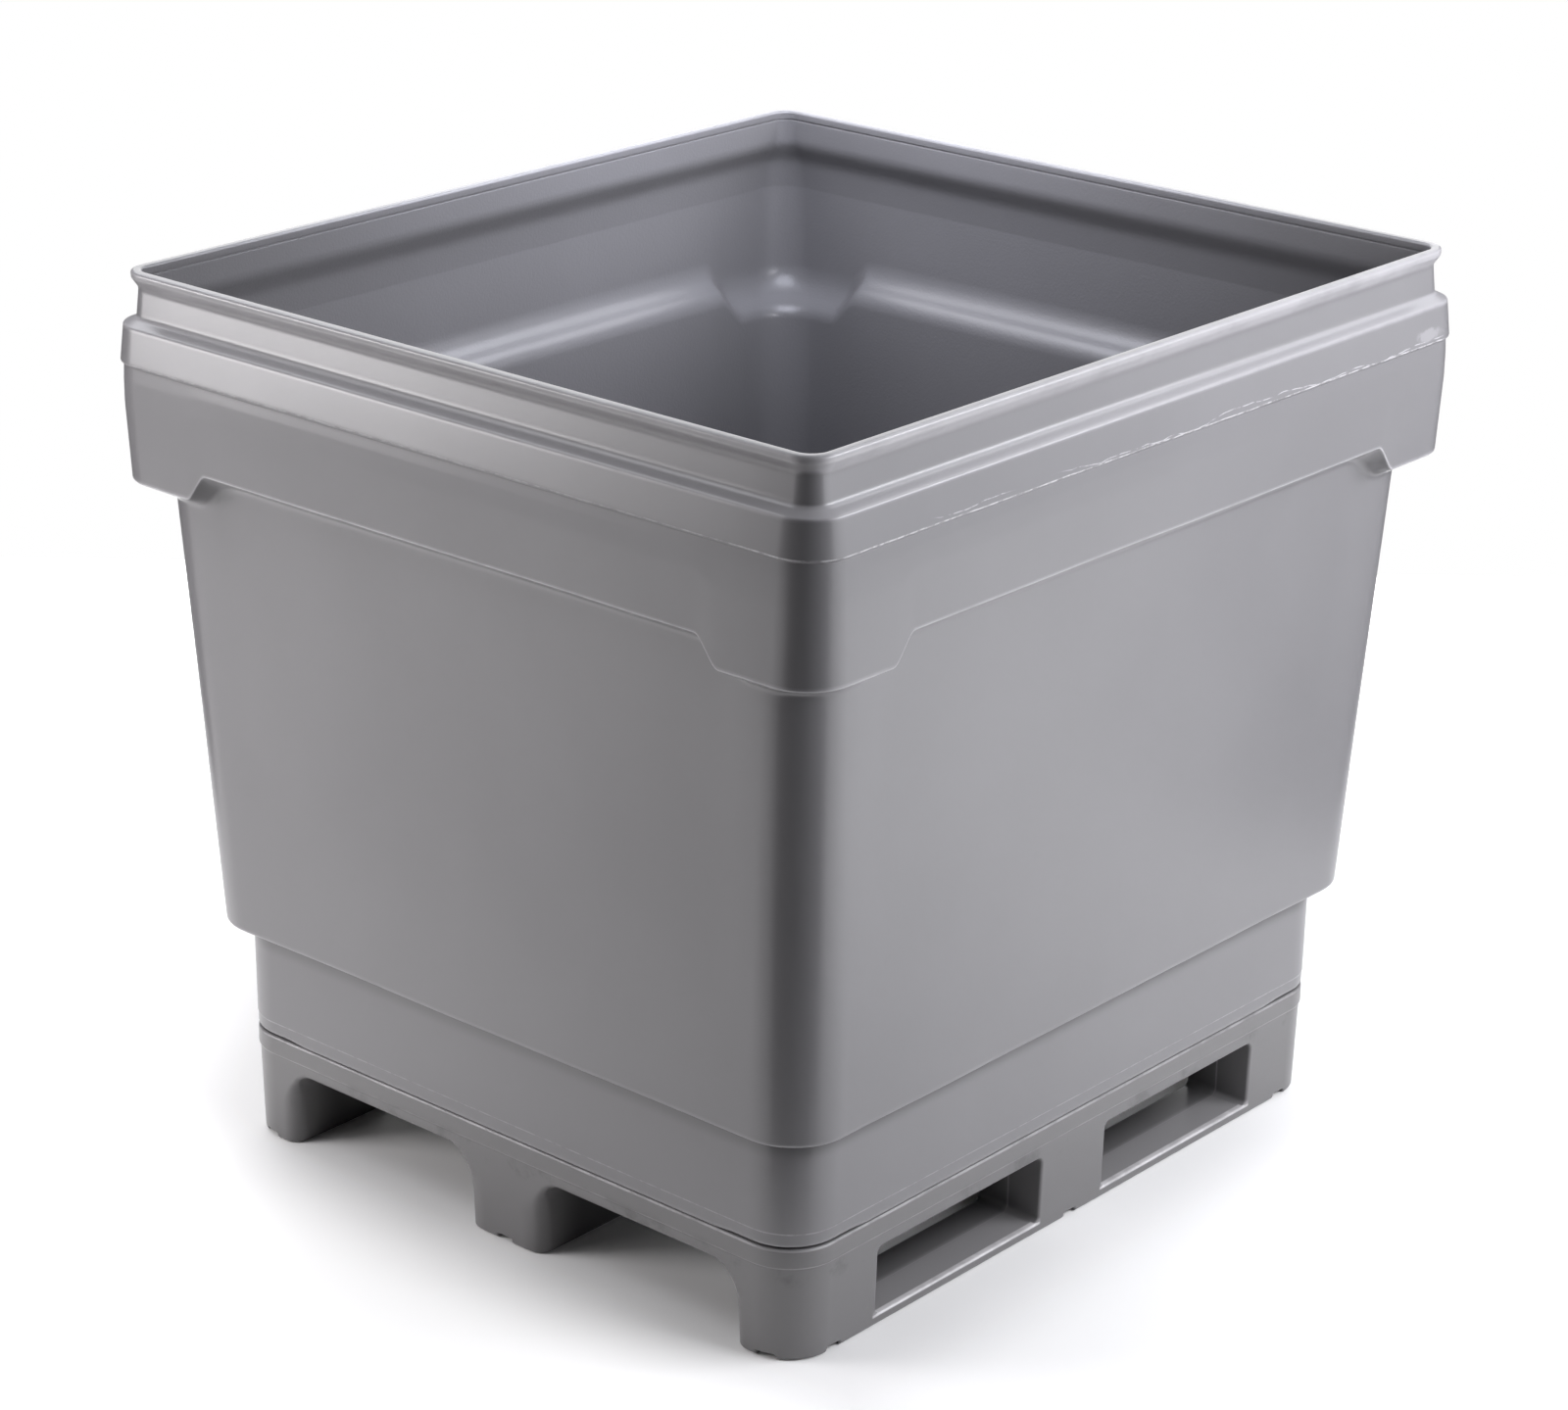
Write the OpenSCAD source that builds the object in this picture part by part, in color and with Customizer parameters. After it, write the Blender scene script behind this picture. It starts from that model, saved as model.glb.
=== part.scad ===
// Bulk fruit bin: a moulded tub bolted down onto a moulded pallet base.
// Millimetres, +Z up, origin on the floor under the middle of the bin.
// X runs along the length, Y across the width.

/* [Overall] */
// Outside length of the rim, along X
rim_l = 1185; // [1100:1:1250]
// Outside width of the rim, along Y
rim_w = 1080; // [1000:1:1150]
// Height from the floor to the rim
total_h = 1120; // [1100:1:1150]
// Height of the pallet base, up to the seam
base_h = 145; // [140:1:155]

/* [Tub] */
// Thickness of the moulded wall
wall = 8; // [6:0.5:9]
// Width of the flat top of the rim with its round edges
rim_t = 13; // [12:0.5:15]
// How far the neck is set in from the rim
neck_in = 8; // [5:0.5:9]
// How far the shoulder stands out past the rim
shoulder_out = 12.5; // [10:0.5:14]
// How far the parting line stands out past the rim
part_out = 16.8; // [16:0.1:18]
// How far the lower band stands out past the rim
band_out = 12.5; // [11:0.5:14]
// Depth of the band below the rim, in the middle of a side
band_depth = 223; // [215:1:230]
// Extra depth of the band at the corners
pad_drop = 34; // [25:1:38]
// Reach of a corner pad from the band's corner, at the top of its slope
pad_reach = 161; // [155:1:170]
// Width of the slope at the side of a corner pad
pad_slope = 25; // [18:1:28]
// How far the body is set in from the rim at its top
body_top_in = 22; // [18:0.5:24]
// How far the body is set in from the rim at its bottom
body_bot_in = 47; // [42:0.5:50]
// Depth of the bottom of the body below the rim
body_depth = 831; // [820:1:840]
// How far the skirt is set in from the rim
skirt_in = 72; // [68:0.5:74]

/* [Pallet base] */
// Thickness of the moulded skin of the base
skin = 6; // [5:0.5:6.5]
// How far the base is set in from the rim
base_in = 76; // [74:0.5:78]
// Corner radius of the base, seen from above
base_r = 64; // [50:1:70]
// Height of the fork openings
fork_h = 103; // [95:1:105]
// Thickness of the runner bars under the fork windows
bar_h = 14; // [13:0.5:16]
// Half the width of the middle feet along X
foot_x = 63; // [55:1:70]
// Distance from the middle to the inner side of the corner feet along X
corner_x = 369; // [360:1:378]
// Half the width of the middle feet along Y
foot_y = 64; // [55:1:70]
// Distance from the middle to the inner side of the corner feet along Y
corner_y = 366; // [360:1:372]
// Width of the grooves across the soles of the feet
groove_w = 22; // [16:1:26]
// Depth of the grooves across the soles of the feet
groove_d = 6; // [4:0.5:7]

/* [Fasteners] */
// Thread diameter of the bolts
bolt_d = 12; // [10:1:12]
// Width across flats of the bolt heads
bolt_af = 18; // [16:1:19]
// Diameter of the wells in the feet that take the bolts
well_d = 44; // [40:1:48]
// Deck thickness clamped by each bolt
clamp_t = 32; // [28:1:33]

/* [Hidden] */
$fn = 48;

eps = 1;
ha = rim_l / 2;
hb = rim_w / 2;
tub_h = total_h - base_h;
body_slope = (body_bot_in - body_top_in) / (body_depth - 260);
// Middle of the feet
post_x = (corner_x + ha - base_in) / 2;
post_y = (corner_y + hb - base_in) / 2;
// The eight outer feet, which take the bolts
BOLTS = [for (i = [-1 : 1]) for (j = [-1 : 1]) if (i != 0 || j != 0) [i * post_x, j * post_y]];
ALL_POSTS = [for (i = [-1 : 1]) for (j = [-1 : 1]) [i, j]];
well_top = base_h - clamp_t;
washer_t = 2.5;
spring_t = 2.5;
head_h = 7.5;
insert_d = 20;
insert_h = 22;
sleeve_d = 20;
fit = 0.1;
vent = [215, 0];

// ---------- tub ----------
// Points on each quarter of a corner
nc = 7;

// Corner radius of the outside, by depth below the rim
function rho_at(d) =
    d < 22 ? 34 - neck_in * min(1, d / 22) :
    lookup(d, [[22, 34 - neck_in], [50, 37 - neck_in], [66, 49], [107, 53], [band_depth + pad_drop, 57],
               [band_depth + pad_drop + 30, 64], [body_depth, 72], [body_depth + 14, 68], [tub_h, 66]]);

// One row of the wall: depth below the rim, offset from the rim, corner radius, share of the pad drop
OUT = [
    [0, 4 - rim_t, 38 - rim_t, 0],
    [0, -4, 30, 0],
    [1.2, -1.2, 33, 0],
    [4, 0, 34, 0],
    [7, -0.3, 34, 0],
    [12, -0.45 * neck_in, rho_at(12), 0],
    [17, -0.85 * neck_in, rho_at(17), 0],
    [22, -neck_in, rho_at(22), 0],
    [45, 2.4 - neck_in, rho_at(45), 0],
    [51, 4 - neck_in, 31, 0],
    [60, shoulder_out - 6, 42, 0],
    [63, shoulder_out - 2.5, 46, 0],
    [67, shoulder_out, rho_at(67), 0],
    [106, part_out, rho_at(107), 0],
    [108, part_out, rho_at(107), 0],
    [111.5, part_out - 2.5, rho_at(111), 0],
    [band_depth - 7, band_out, rho_at(band_depth), 1],
    [band_depth - 2, band_out - 1.5, rho_at(band_depth), 1],
    [band_depth + 1, band_out - 5.5, rho_at(band_depth), 1],
    [band_depth + 12, 3.5 - body_top_in, 62, 1],
    [band_depth + 19, 0.5 - body_top_in, 63, 1],
    [band_depth + pad_drop + 45, -body_top_in - body_slope * (band_depth + pad_drop + 45 - 260), 64, 0],
    [body_depth - 10, -body_bot_in, 72, 0],
    [body_depth - 3, -body_bot_in - 2, 71, 0],
    [body_depth + 2, -body_bot_in - 7, 70, 0],
    [body_depth + 8, 4 - skirt_in, 69, 0],
    [body_depth + 14, -skirt_in, 68, 0],
    [tub_h - 6, -skirt_in - 1.5, 66, 0],
    [tub_h - 1.5, -skirt_in - 3, 65, 0],
    [tub_h, -skirt_in - 7, 61, 0]
];
INN = [
    [0.8, 1.2 - rim_t, 24, 0],
    [3.5, -rim_t, 21, 0],
    [12, -rim_t, 20, 0],
    [19, -rim_t - 0.4, 20, 0],
    [42, -rim_t - 0.8, 20, 0],
    [51, 2 - rim_t, 23, 0],
    [60, 2 - wall, 29, 0],
    [68, shoulder_out - wall - 3, 38, 0],
    [76, shoulder_out - wall + 0.5, 42, 0],
    [107, part_out - wall - 0.5, 45, 0],
    [band_depth - 17, band_out - wall, 48, 1],
    [band_depth - 11, band_out - wall - 2, 48, 1],
    [band_depth - 6, band_out - wall - 8, 49, 1],
    [band_depth + 6, 4 - body_top_in - wall, 53, 1],
    [band_depth + 14, 0.5 - body_top_in - wall, 55, 1],
    [band_depth + pad_drop + 45, -body_top_in - wall - body_slope * (band_depth + pad_drop + 45 - 260), 56, 0],
    [body_depth - 17, -body_bot_in - wall, 64, 0],
    [body_depth - 9, -body_bot_in - wall - 3, 63, 0],
    [body_depth, -skirt_in - wall + 5, 62, 0],
    [body_depth + 10, -skirt_in - wall, 60, 0],
    [tub_h - wall - 16, -skirt_in - wall - 1.5, 58, 0],
    [tub_h - wall - 5, -skirt_in - wall - 6, 54, 0],
    [tub_h - wall, -skirt_in - wall - 17, 46, 0]
];
// From the floor up the inside, over the rim and down the outside
ROWS = concat([for (i = [len(INN) - 1 : -1 : 0]) INN[i]], OUT);

pad_x = ha + band_out - pad_reach;
pad_y = hb + band_out - pad_reach;

// One side of a ring along its own direction: the four points that shape the corner pads
function side_pts(straight, p) =
    let (s = min(1, 0.97 * straight / (p + pad_slope)))
    [[-(p + pad_slope) * s, 1], [-p * s, 0], [p * s, 0], [(p + pad_slope) * s, 1]];
function arc_pts(cx, cy, rho, a0) = [for (i = [0 : nc]) [cx + rho * cos(a0 + 90 * i / nc), cy + rho * sin(a0 + 90 * i / nc), 1]];
function ring(row) =
    let (a = ha + row[1], b = hb + row[1], rho = row[2], sa = a - rho, sb = b - rho,
         sx = side_pts(sa, pad_x), sy = side_pts(sb, pad_y),
         flat = concat(
             [for (q = sy) [a, q[0], q[1]]], arc_pts(sa, sb, rho, 0),
             [for (q = sx) [-q[0], b, q[1]]], arc_pts(-sa, sb, rho, 90),
             [for (q = sy) [-a, -q[0], q[1]]], arc_pts(-sa, -sb, rho, 180),
             [for (q = sx) [q[0], -b, q[1]]], arc_pts(sa, -sb, rho, 270)))
    [for (q = flat) [q[0], q[1], total_h - row[0] - row[3] * q[2] * pad_drop]];

module tub_skin() {
    rings = [for (r = ROWS) ring(r)];
    n = len(rings[0]);
    m = len(rings);
    // The last two points are the middles of the floor and of the underside
    pts = concat([for (r = rings) for (p = r) p], [[0, 0, rings[0][0][2]], [0, 0, rings[m - 1][0][2]]]);
    faces = concat(
        [for (k = [0 : n - 1]) [(k + 1) % n, k, m * n]],
        [for (i = [0 : m - 2]) for (k = [0 : n - 1])
            let (k2 = (k + 1) % n, a = i * n + k, b = i * n + k2, c = a + n, d = b + n)
            each [[a, b, d], [a, d, c]]],
        [for (k = [0 : n - 1]) [(m - 1) * n + k, (m - 1) * n + (k + 1) % n, m * n + 1]]);
    polyhedron(points = pts, faces = faces, convexity = 12);
}

module tub() {
    color([0.53, 0.53, 0.55])
    difference() {
        union() {
            tub_skin();
            // Bosses over the inserts
            for (p = BOLTS) translate([p[0], p[1], base_h + wall / 2]) cylinder(d = 52, h = insert_h + wall / 2 + 4);
        }
        for (p = BOLTS) translate([p[0], p[1], base_h - eps]) cylinder(d = insert_d, h = insert_h + eps);
    }
}

// ---------- pallet base ----------
module round_rect(a, b, r) {
    square([2 * a, 2 * (b - r)], center = true);
    square([2 * (a - r), 2 * b], center = true);
    for (i = [-1, 1]) for (j = [-1, 1]) translate([i * (a - r), j * (b - r)]) circle(r = r);
}
// Opening with two round top corners, from x0 to x1 and from the floor up to h
module arch(x0, x1, h, r) {
    translate([x0, -eps]) square([x1 - x0, h - r + eps]);
    translate([x0 + r, 0]) square([x1 - x0 - 2 * r, h]);
    for (x = [x0 + r, x1 - r]) translate([x, h - r]) circle(r = r);
}
module window(x0, x1, z0, z1, r) {
    translate([(x0 + x1) / 2, (z0 + z1) / 2]) round_rect((x1 - x0) / 2, (z1 - z0) / 2, r);
}
module foot_core(i, j) {
    x0 = i == 0 ? -foot_x : corner_x;
    x1 = i == 0 ? foot_x : ha - base_in;
    y0 = j == 0 ? -foot_y : corner_y;
    y1 = j == 0 ? foot_y : hb - base_in;
    mirror([i < 0 ? 1 : 0, 0, 0]) mirror([0, j < 0 ? 1 : 0, 0])
    translate([x0 + skin, y0 + skin, groove_d + skin])
        linear_extrude(height = well_top - groove_d)
            difference() {
                square([x1 - x0 - 2 * skin, y1 - y0 - 2 * skin]);
                // Keeps the skin even at the round outer corners
                if (i != 0 && j != 0)
                    translate([x1 - x0 - 2 * skin - base_r + skin, y1 - y0 - 2 * skin - base_r + skin])
                        difference() {
                            square(base_r);
                            circle(r = base_r - skin);
                        }
            }
}
module base_core() {
    difference() {
        union() {
            translate([0, 0, fork_h + skin])
                linear_extrude(height = base_h - fork_h - 2 * skin) round_rect(ha - base_in - skin, hb - base_in - skin, base_r - skin);
            for (p = ALL_POSTS) foot_core(p[0], p[1]);
        }
        // Tubes around the bolt wells and the sleeves
        for (p = BOLTS) translate([p[0], p[1], -eps]) cylinder(d = well_d + 2 * skin, h = base_h + 2 * eps);
        // Thicker ring around the vent hole
        translate([vent[0], vent[1], base_h - 12]) cylinder(d = 44, h = 20);
    }
}
module pallet_base() {
    color([0.51, 0.51, 0.53])
    difference() {
        linear_extrude(height = base_h) round_rect(ha - base_in, hb - base_in, base_r);
        // Fork channels along X, open to the floor
        for (s = [0, 1]) mirror([0, s, 0])
            rotate([90, 0, 90]) translate([0, 0, -ha]) linear_extrude(height = 2 * ha) arch(foot_y, corner_y, fork_h, 30);
        // Fork windows along Y, closed below by the runner bars
        for (s = [0, 1]) mirror([s, 0, 0])
            rotate([90, 0, 0]) translate([0, 0, -hb]) linear_extrude(height = 2 * hb) window(foot_x, corner_x, bar_h, fork_h, 9);
        // Grooves in the soles, from the middle of each outer foot to the outside
        for (j = [-1 : 1]) for (x = [-ha, post_x]) translate([x, j * post_y - groove_w / 2, -eps]) cube([ha - post_x, groove_w, groove_d + eps]);
        for (i = [-1 : 1]) for (y = [-hb, post_y]) translate([i * post_x - groove_w / 2, y, -eps]) cube([groove_w, hb - post_y, groove_d + eps]);
        // Bolt wells and sleeve holes
        for (p = BOLTS) translate([p[0], p[1], 0]) {
            translate([0, 0, -eps]) cylinder(d = well_d, h = well_top + eps);
            cylinder(d = sleeve_d, h = base_h + eps);
        }
        // Vent hole with its recess in the deck
        translate([vent[0], vent[1], base_h - 4]) cylinder(d = 30, h = 4 + eps);
        translate([vent[0], vent[1], base_h - 14]) cylinder(d = 16, h = 14);
        // Sealed hollow inside
        base_core();
    }
}

// ---------- fasteners ----------
module ring_part(od, id, h) {
    difference() {
        cylinder(d = od, h = h);
        translate([0, 0, -eps]) cylinder(d = id, h = h + 2 * eps);
    }
}
module threaded_inserts() {
    color([0.72, 0.58, 0.32])
    for (p = BOLTS) translate([p[0], p[1], base_h])
        rotate_extrude() difference() {
            translate([bolt_d / 2, 0]) square([(insert_d - fit) / 2 - bolt_d / 2, insert_h - fit]);
            // Grooves that lock the insert in the plastic
            for (z = [6, 13]) translate([insert_d / 2 - 1.5, z]) square([3, 3]);
        }
}
module compression_sleeves() {
    color([0.75, 0.76, 0.78])
    for (p = BOLTS) translate([p[0], p[1], well_top]) ring_part(sleeve_d - fit, bolt_d + 1, clamp_t);
}
module hex_bolts() {
    color([0.7, 0.71, 0.73])
    for (p = BOLTS) translate([p[0], p[1], well_top - washer_t - spring_t]) {
        translate([0, 0, -head_h]) cylinder(d = bolt_af / cos(30), h = head_h, $fn = 6);
        translate([0, 0, -0.5]) cylinder(d = bolt_d - fit, h = washer_t + spring_t + clamp_t + insert_h - 3.5);
    }
}
module flat_washers() {
    color([0.74, 0.75, 0.77])
    for (p = BOLTS) translate([p[0], p[1], well_top - washer_t]) ring_part(36, bolt_d + 1, washer_t);
}
// A spring washer, split on one side
module lock_washers() {
    color([0.66, 0.67, 0.69])
    for (p = BOLTS) translate([p[0], p[1], well_top - washer_t - spring_t])
        difference() {
            ring_part(21, bolt_d + 0.4, spring_t);
            rotate([0, 0, 20]) translate([0, -0.6, -eps]) cube([15, 1.2, spring_t + 2 * eps]);
        }
}
module vent_plug() {
    color([0.2, 0.2, 0.21])
    translate([vent[0], vent[1], base_h - 4]) {
        cylinder(d = 29, h = 3);
        translate([0, 0, -10]) cylinder(d = 15.8, h = 10.5);
    }
}

tub();
pallet_base();
threaded_inserts();
compression_sleeves();
hex_bolts();
flat_washers();
lock_washers();
vent_plug();
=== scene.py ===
"""Looks of a moulded fruit bin: a satin plastic tub on a moulded pallet base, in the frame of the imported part."""
import math

import bpy
import numpy as np
from mathutils import Matrix, Vector
from mathutils.geometry import delaunay_2d_cdt


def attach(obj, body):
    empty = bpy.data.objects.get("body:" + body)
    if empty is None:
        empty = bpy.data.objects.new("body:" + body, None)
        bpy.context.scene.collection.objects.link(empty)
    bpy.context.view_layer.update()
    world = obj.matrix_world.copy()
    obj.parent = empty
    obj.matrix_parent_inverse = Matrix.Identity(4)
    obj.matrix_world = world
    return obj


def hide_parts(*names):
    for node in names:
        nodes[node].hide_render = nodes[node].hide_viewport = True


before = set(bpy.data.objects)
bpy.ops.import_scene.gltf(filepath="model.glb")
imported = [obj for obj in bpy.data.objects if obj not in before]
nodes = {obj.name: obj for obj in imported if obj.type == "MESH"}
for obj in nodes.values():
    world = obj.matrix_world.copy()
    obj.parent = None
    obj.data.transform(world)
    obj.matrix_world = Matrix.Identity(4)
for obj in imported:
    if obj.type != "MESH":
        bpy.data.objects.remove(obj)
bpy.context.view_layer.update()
MM = 0.001

# ---------------------------------------------------------------- sizes, in mm, as in the construction
A0, B0, H = 592.5, 540.0, 1120.0
SEAM = 145.0
PADX, PADY, SLOPE, DROP = 443.5, 391.0, 25.0, 34.5
POSTX, POSTY = 442.75, 415.0
BOLTS = [(i * POSTX, j * POSTY) for i in (-1, 0, 1) for j in (-1, 0, 1) if i or j]


# ---------------------------------------------------------------- small helpers
def wave(u, v, seed):
    """Slow, fixed unevenness between -1 and 1."""
    p = seed * 1.7
    return (np.sin(0.0081 * u + 0.0047 * v + p) + 0.6 * np.sin(0.0143 * u - 0.0101 * v + 2.3 * p + 1.0)
            + 0.4 * np.sin(0.0236 * u + 0.0171 * v + 3.1 * p + 2.0)) / 2.0


def new_mesh(name, verts, faces, smooth=True):
    me = bpy.data.meshes.new(name)
    me.from_pydata([tuple(v) for v in verts], [], faces)
    me.validate()
    me.update()
    if smooth:
        me.polygons.foreach_set("use_smooth", np.ones(len(me.polygons), bool))
    ob = bpy.data.objects.new(name, me)
    bpy.context.scene.collection.objects.link(ob)
    return ob


# ---------------------------------------------------------------- tub wall profile
# Each corner of the profile: depth, offset from the rim, plan corner radius, share of the pad drop, rounding
PROFILE = [
    (-967.0, -97.5, 44.0, 0, 0.0),
    (-967.0, -82.6, 57.0, 0, 15.0),
    (-840.5, -80.4, 60.0, 0, 14.0),
    (-822.0, -55.6, 64.0, 0, 14.0),
    (-233.5, -30.0, 56.0, 1, 26.0),
    (-210.5, 4.5, 48.0, 1, 34.0),
    (-110.0, 8.3, 45.0, 0, 3.0),
    (-71.5, 5.0, 41.0, 0, 26.0),
    (-46.5, -14.0, 20.0, 0, 24.0),
    (-13.0, -13.2, 20.8, 0, 0.5),
    (-12.0, -11.6, 22.4, 0, 0.4),
    (-10.8, -11.6, 22.4, 0, 0.4),
    (-10.2, -13.2, 20.8, 0, 0.5),
    (0.0, -13.0, 21.0, 0, 3.2),
    (0.0, 0.0, 34.0, 0, 5.0),
    (-8.5, -0.3, 34.0, 0, 7.0),
    (-20.5, -8.4, 26.0, 0, 11.0),
    (-56.8, -4.5, 29.8, 0, 9.0),
    (-63.7, 12.0, 47.5, 0, 4.5),
    (-106.6, 17.0, 53.0, 0, 0.9),
    (-108.6, 16.6, 52.6, 0, 0.9),
    (-111.2, 13.4, 50.0, 0, 1.0),
    (-125.0, 14.5, 51.5, 0.13, 60.0),
    (-148.0, 15.0, 53.0, 0.34, 120.0),
    (-220.0, 12.5, 57.0, 1, 2.6),
    (-238.5, -21.8, 63.5, 1, 14.0),
    (-828.8, -47.7, 72.0, 0, 5.0),
    (-838.5, -72.3, 68.0, 0, 4.0),
    (-954.6, -73.3, 66.5, 0, 0.4),
    (-956.2, -73.9, 66.0, 0, 0.6),
    (-975.0, -74.2, 66.0, 0, 4.5),
    (-975.0, -95.0, 45.0, 0, 0.0),
]
INNER_CORNERS = 13  # corners of the profile that belong to the inside
# How much the edge at a corner of the profile is painted pale, as edge wear and as a painted highlight
WEAR_AND_HIGHLIGHT = {13: 0.2, 14: 0.45, 15: 0.25, 18: 0.45, 24: 1.0, 26: 0.3, 30: 0.3}


def round_path(corners, step=14.0, support=2.6, longest=42.0):
    """Samples of the profile with its corners rounded: rows of (z, r, rho, drop, side, wear_and_highlight), side 1
    inside the tub; the last column is how pale the edge is painted, as edge wear and as a painted highlight.
    """
    P = np.array([c[:4] for c in corners], float)
    R = [c[4] for c in corners]
    n = len(P)
    cuts = []
    for i in range(n):
        if R[i] <= 0 or i in (0, n - 1):
            cuts.append(None)
            continue
        a, b = P[i - 1, :2] - P[i, :2], P[i + 1, :2] - P[i, :2]
        la, lb = np.linalg.norm(a), np.linalg.norm(b)
        a, b = a / la, b / lb
        turn = math.pi - math.acos(max(-1, min(1, a @ b)))
        t = min(R[i] * math.tan(turn / 2), 0.47 * la, 0.47 * lb)
        rad = t / max(math.tan(turn / 2), 1e-9)
        T1 = P[i] + (P[i - 1] - P[i]) * (t / la)
        T2 = P[i] + (P[i + 1] - P[i]) * (t / lb)
        mid = a + b
        mid = mid / max(np.linalg.norm(mid), 1e-9)
        C = P[i, :2] + mid * (rad / math.cos(turn / 2))
        k = max(2, int(math.ceil(math.degrees(turn) / step)))
        v1, v2 = T1[:2] - C, T2[:2] - C
        arc = []
        for j in range(k + 1):
            f = j / k
            s1, s2 = math.sin((1 - f) * turn) / math.sin(turn), math.sin(f * turn) / math.sin(turn)
            p = C + s1 * v1 + s2 * v2
            q = T1 * (1 - f) + T2 * f
            arc.append((p[0], p[1], q[2], q[3], 1.0 if i < INNER_CORNERS else 0.0,
                        WEAR_AND_HIGHLIGHT.get(i, 0.0) * (0.35 if j in (0, k) else 1.0)))
        cuts.append(arc)
    rows = []
    for i in range(n):
        if cuts[i] is None:
            rows.append((*P[i], 1.0 if i < INNER_CORNERS else 0.0, 0.0))
        else:
            rows.extend(cuts[i])
        if i == n - 1:
            break
        q0 = np.array(rows[-1])
        q1 = np.array((*P[i + 1], rows[-1][4], 0.0) if cuts[i + 1] is None else cuts[i + 1][0])
        L = np.linalg.norm(q1[:2] - q0[:2])
        side = rows[-1][4]
        ts = []
        if L > 4 * support:
            ts += [support / L, 1 - support / L]
            m = int(L // longest)
            ts += [(k + 1) / (m + 1) for k in range(m)]
        elif L > 5:
            ts += [0.5]
        for t in sorted(ts):
            q = q0 * (1 - t) + q1 * t
            rows.append((q[0], q[1], q[2], q[3], side, 0.0))
    out = [rows[0]]
    for q in rows[1:]:
        if math.dist(q[:2], out[-1][:2]) > 0.05:
            out.append(q)
    return np.array(out)


ROWS = round_path(PROFILE)


def ramp_integral(x):
    x = np.asarray(x, float)
    return np.where(x <= 0, 0, np.where(x >= 1, x - 0.5, 0.5 * x * x))


def pad_share(s, start, soft):
    """0 in the middle of a side, 1 at its ends, with rounded corners between, rounder where soft is 1."""
    w = 0.42 + 0.45 * soft
    slope = SLOPE * (1 + 0.7 * soft)
    x = (np.abs(s) - start - (SLOPE - slope) / 2) / slope
    return (ramp_integral(x + w / 2) - ramp_integral(x - w / 2)) / w


def side_columns(start, mid_step=30.0):
    fine = start + np.array([-20, -13, -8, -4.5, -1, 3, 7.5, 12.5, 17.5, 22, 26, 29.5, 33, 38, 45])
    m = int(round(2 * (start - 20) / mid_step))
    mid = np.linspace(-(start - 20), start - 20, m + 1)[1:-1]
    return np.concatenate([-fine[::-1], mid, fine])


COLX, COLY = side_columns(PADX), side_columns(PADY)
NCORNER = 12
ARC = np.linspace(0, math.pi / 2, NCORNER + 1)


def ring(z, r, rho, drop, inside, wear_and_highlight):
    """One closed row of points around the tub, counter-clockwise from above, starting on the +X side."""
    a, b = A0 + r, B0 + r
    sa, sb = a - rho, b - rho
    ux = COLX * min(1.0, 0.985 * sa / COLX[-1])
    uy = COLY * min(1.0, 0.985 * sb / COLY[-1])
    soft = 0.08 + 0.30 * min(1.0, max(0.0, (4.5 - r) / 34)) if inside > 0.5 else min(1.0, max(0.0, (11.0 - r) / 32))
    dx, dy = pad_share(COLX, PADX, soft), pad_share(COLY, PADY, soft)
    one = np.ones(NCORNER + 1)
    # Slow unevenness of the big walls, none at the rim and the floor
    calm = min(1.0, max(0.0, (-z - 70) / 120)) * min(1.0, max(0.0, (z + 975) / 140))
    def bow(u, k):
        end = np.clip((abs(u[-1]) + 40 - np.abs(u)) / 160, 0, 1)
        return 1.1 * calm * end * wave(u, z, k)
    parts = []
    def side(axis, sign, u, d, k):
        off = bow(u, k)
        if axis == 0:
            x, y = sign * (a + off), sign * u
        else:
            x, y = -sign * u, sign * (b + off)
        parts.append(np.stack([np.broadcast_to(x, u.shape), np.broadcast_to(y, u.shape), d], 1))
    def corner(cx, cy, a0):
        parts.append(np.stack([cx + rho * np.cos(a0 + ARC), cy + rho * np.sin(a0 + ARC), one], 1))
    side(0, 1, uy, dy, 1)
    corner(sa, sb, 0)
    side(1, 1, ux, dx, 2)
    corner(-sa, sb, math.pi / 2)
    side(0, -1, uy, dy, 3)
    corner(-sa, -sb, math.pi)
    side(1, -1, ux, dx, 4)
    corner(sa, -sb, 1.5 * math.pi)
    q = np.concatenate(parts)
    # The skirt's lower edge stands a little off the base at the corners
    far = np.maximum(np.abs(q[:, 0]) - sa + 60, 0) * np.maximum(np.abs(q[:, 1]) - sb + 60, 0)
    gap = 2.2 * np.clip(far / 3600, 0, 1) * min(1.0, max(0.0, (-962 - z) / 8)) * (inside < 0.5)
    q[:, 2] = H + z - drop * DROP * q[:, 2] + gap
    return q


def triangulate(outer, holes):
    """Flat triangles inside outer and outside the holes, as indices into the points that come back."""
    pts = [Vector(p) for p in outer]
    edges = [(i, (i + 1) % len(outer)) for i in range(len(outer))]
    for h in holes:
        n0 = len(pts)
        pts += [Vector(p) for p in h]
        edges += [(n0 + i, n0 + (i + 1) % len(h)) for i in range(len(h))]
    v, e, f, vo, eo, fo = delaunay_2d_cdt(pts, edges, [], 0, 1e-6)
    def inside(p, loop):
        hit = False
        for (x1, y1), (x2, y2) in zip(loop, loop[1:] + loop[:1]):
            if (y1 > p[1]) != (y2 > p[1]) and p[0] < (x2 - x1) * (p[1] - y1) / (y2 - y1) + x1:
                hit = not hit
        return hit
    keep = []
    for t in f:
        c = sum((v[i] for i in t), Vector((0, 0))) / len(t)
        if inside(c, [tuple(p) for p in outer]) and not any(inside(c, [tuple(p) for p in h]) for h in holes):
            keep.append(tuple(t))
    return [tuple(p) for p in v], [tuple(o) for o in vo], keep


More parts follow.
